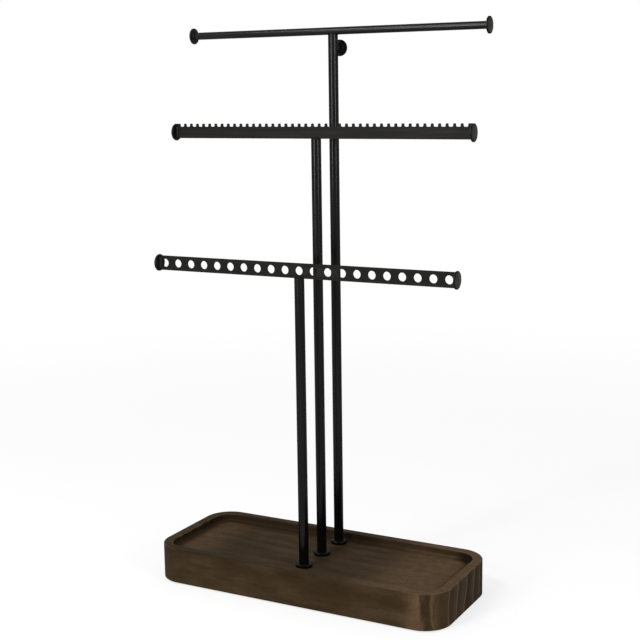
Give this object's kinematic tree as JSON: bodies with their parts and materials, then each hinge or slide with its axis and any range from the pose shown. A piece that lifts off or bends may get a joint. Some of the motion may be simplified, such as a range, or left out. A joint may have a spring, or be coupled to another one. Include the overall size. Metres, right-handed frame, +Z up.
{
  "type": "jewellery stand",
  "caption": "Three-tier T-bar jewellery stand: tall black steel posts with an earring, a bracelet and a necklace bar, rising from a dark wooden ring tray.",
  "frame": {"origin": "on the resting plane, below the middle of the tray", "axes": "+X along the tray to its right-hand end, +Y to its back, where the tallest post stands, +Z up"},
  "size_m": [0.2694, 0.107, 0.4617],
  "materials": {
    "tray_wood": "dark walnut stain, open-grained, matt oil",
    "post_coat": "satin black powder coat",
    "bar_coat": "satin black powder coat",
    "cap_coat": "satin black powder coat",
    "weld_coat": "powder-coated weld bead",
    "inner_steel": "turned steel",
    "zinc_steel": "bright zinc plate",
    "foot_rubber": "soft black rubber"
  },
  "bodies": {
    "base": {"tray": "tray_wood", "foot_pads": "foot_rubber", "base_washers": "zinc_steel"},
    "front_tee": {"front_post": "post_coat", "front_collar": "cap_coat", "front_threaded_insert": "inner_steel", "front_screw": "zinc_steel", "front_top_plug": "inner_steel", "front_weld_bead": "weld_coat", "earring_bar": "bar_coat", "earring_bar_left_cap": "cap_coat", "earring_bar_right_cap": "cap_coat"},
    "middle_tee": {"middle_post": "post_coat", "middle_collar": "cap_coat", "middle_threaded_insert": "inner_steel", "middle_screw": "zinc_steel", "middle_top_plug": "inner_steel", "middle_weld_bead": "weld_coat", "bracelet_bar": "bar_coat", "bracelet_bar_left_cap": "cap_coat", "bracelet_bar_right_cap": "cap_coat"},
    "rear_tee": {"rear_post": "post_coat", "rear_collar": "cap_coat", "rear_threaded_insert": "inner_steel", "rear_screw": "zinc_steel", "rear_top_plug": "inner_steel", "rear_weld_bead": "weld_coat", "necklace_bar": "bar_coat", "necklace_bar_left_cap": "cap_coat", "necklace_bar_right_cap": "cap_coat", "rear_peg": "bar_coat", "rear_peg_cap": "cap_coat"}
  },
  "joints": [
    {"name": "front_tee_swivel", "type": "hinge", "parent": "base", "child": "front_tee", "pos_m": [0, -0.027, 0.025], "axis": [0, 0, 1], "range_deg": [-80, 80]},
    {"name": "middle_tee_swivel", "type": "hinge", "parent": "base", "child": "middle_tee", "pos_m": [0, 0.004, 0.025], "axis": [0, 0, 1], "range_deg": [-80, 80]},
    {"name": "rear_tee_swivel", "type": "hinge", "parent": "base", "child": "rear_tee", "pos_m": [0, 0.035, 0.025], "axis": [0, 0, 1], "continuous": true}
  ]
}
